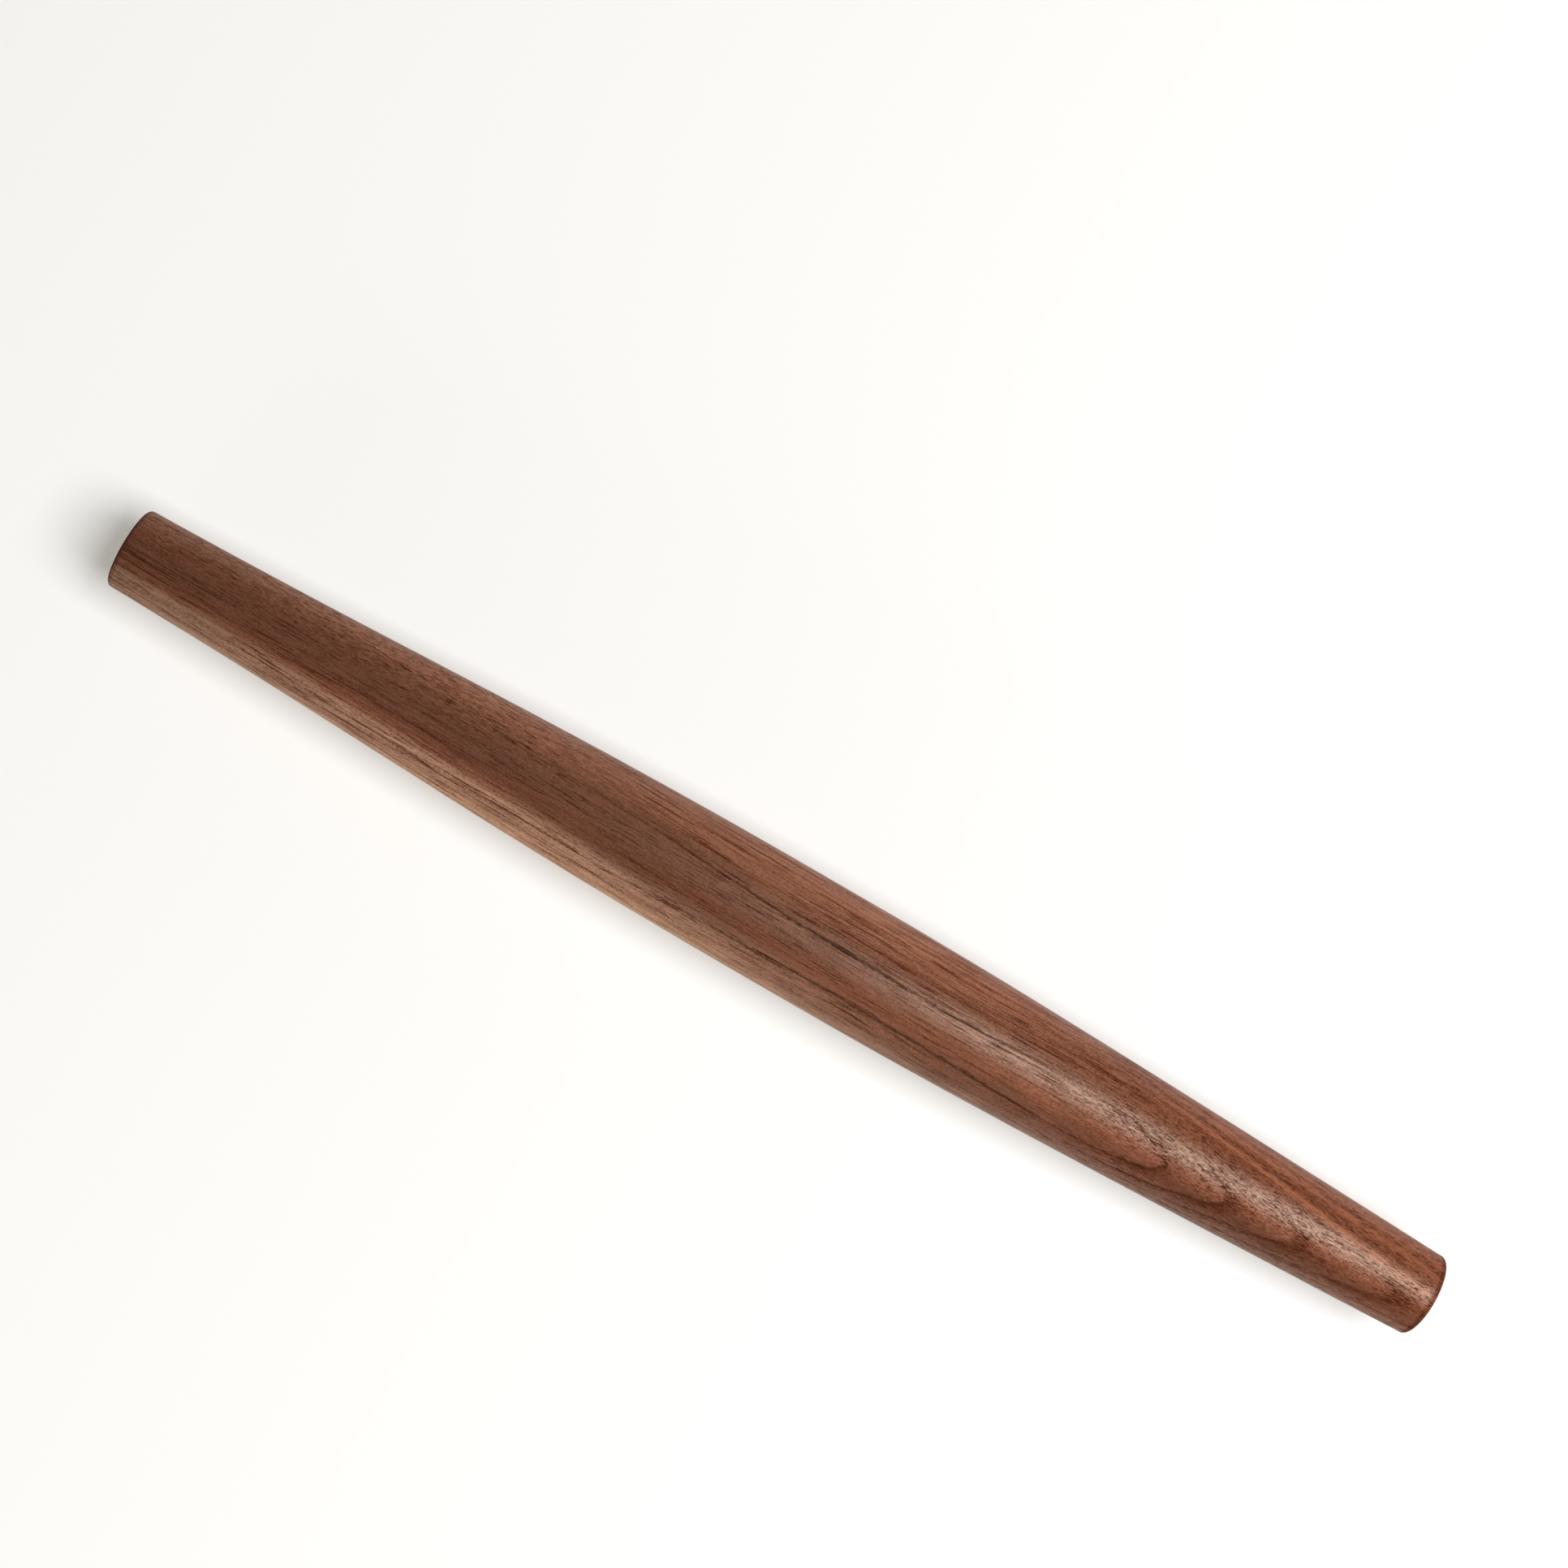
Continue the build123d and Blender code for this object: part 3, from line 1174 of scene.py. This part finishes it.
# %% Dress the pin
pin.data.materials.append(walnut)
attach(pin, "root")
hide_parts("rolling_pin")
print("dressed:", pin.name)

# %% [markdown]
# The table
# The pin lies on a white sheet. It could be lit until it clips to white, but then the pin would get
# too much light as well. So the sheet is pale by its own colour, and a part of what the camera and
# the reflections see of it is a plain glow, which leaves the pin's soft shadow on it.

# %% Floor
FLOOR_HALF = 12.0
FLOOR_LEVEL = -BARREL_RADIUS - HAIR


def flat_sheet(name, half, level):
    """A square sheet at one level: four corner points and one face that looks up."""
    mesh = bpy.data.meshes.new(name)
    corners = [(-half, -half, level), (half, -half, level), (half, half, level), (-half, half, level)]
    mesh.from_pydata(corners, [], [(0, 1, 2, 3)])
    sheet = bpy.data.objects.new(name, mesh)
    bpy.context.scene.collection.objects.link(sheet)
    return sheet


floor = flat_sheet("white_sheet", FLOOR_HALF, FLOOR_LEVEL)
print("floor level in metres:", FLOOR_LEVEL)

# %% Paper
# from here on the helpers put their nodes into the paper's tree
PAPER_WHITE = (0.95, 0.96, 0.99, 1.0)
PAPER_ROUGHNESS = 0.9
GLOW_COLOUR = (0.995, 0.97, 0.88, 1.0)
GLOW_SHARE = 0.33

paper = bpy.data.materials.new("white_paper")
paper.use_nodes = True
tree = paper.node_tree
paper_surface = tree.nodes["Principled BSDF"]
put(paper_surface.inputs["Base Color"], PAPER_WHITE)
put(paper_surface.inputs["Roughness"], PAPER_ROUGHNESS)
put(paper_surface.inputs["Specular IOR Level"], 0.0)
glow = made_node("ShaderNodeEmission", GLOW_COLOUR)
ray = tree.nodes.new("ShaderNodeLightPath")
seen = larger(*[ray.outputs[f"Is {kind} Ray"] for kind in ("Camera", "Glossy", "Transmission")])
paper_mix = made_node(
    "ShaderNodeMixShader", times(seen, GLOW_SHARE), paper_surface.outputs[0], glow.outputs[0]
)
put(tree.nodes["Material Output"].inputs["Surface"], paper_mix.outputs[0])
floor.data.materials.append(paper)
print("paper nodes:", len(tree.nodes))

# %% [markdown]
# The light
# The light comes from a large soft lamp above the short end, and a little comes back from low on the
# near side, which is warmer. The room overhead is dim and its walls are lighter, and that leaves the
# dark band along the top of the long taper. Area lamps are used because their size sets how soft a
# highlight on the oiled wood is.

# %% Lamps
MAIN_LAMP = {
    "place_at": (1.73, 0.26, 2.8),
    "aim_at": (1.73, 0.26, 0.0),
    "size": (2.34, 1.9),
    "power": 146.0,
    "colour": (1.0, 0.995, 0.985),
}
LOW_LAMP = {
    "place_at": (-0.5, -1.5, 0.3),
    "aim_at": (-0.5, 0.0, 0.1),
    "size": (1.3, 0.6),
    "power": 6.5,
    "colour": (1.0, 0.94, 0.82),
}


def soft_lamp(name, place_at, aim_at, size, power, colour):
    """A rectangular area lamp that looks from one place to another."""
    data = bpy.data.lights.new(name, "AREA")
    data.shape = "RECTANGLE"
    data.size, data.size_y = size
    data.energy = power
    data.color = colour
    lamp = bpy.data.objects.new(name, data)
    lamp.location = place_at
    lamp.rotation_euler = (Vector(aim_at) - Vector(place_at)).to_track_quat("-Z", "Y").to_euler()
    bpy.context.scene.collection.objects.link(lamp)


soft_lamp("main_softbox", **MAIN_LAMP)
soft_lamp("low_window", **LOW_LAMP)
print("lamps in watts:", MAIN_LAMP["power"], LOW_LAMP["power"])

# %% Room light
ROOM_COLOUR = (1.0, 0.91, 0.76, 1.0)
# how high a direction points, and how strong the room is from the walls to the ceiling
ROOM_RISE = (0.1, 0.5)
ROOM_STRENGTHS = (0.35, 0.06)

world = bpy.data.worlds.new("room")
bpy.context.scene.world = world
world.use_nodes = True
tree = world.node_tree
tree.nodes.clear()
direction = tree.nodes.new("ShaderNodeTexCoord").outputs["Generated"]
rise = made_node("ShaderNodeSeparateXYZ", direction).outputs["Z"]
room_light = made_node("ShaderNodeBackground", ROOM_COLOUR, ramp(rise, ROOM_RISE, ROOM_STRENGTHS))
made_node("ShaderNodeOutputWorld", room_light.outputs[0])
print("room nodes:", len(tree.nodes))

# %% [markdown]
# Finish
# Blender starts with the AgX view, which softens bright colours as film does. The Standard view has no
# such curve, and so it suits a white sheet that has to stay white.

# %% View
bpy.context.scene.view_settings.view_transform = "Standard"
print("view:", bpy.context.scene.view_settings.view_transform)
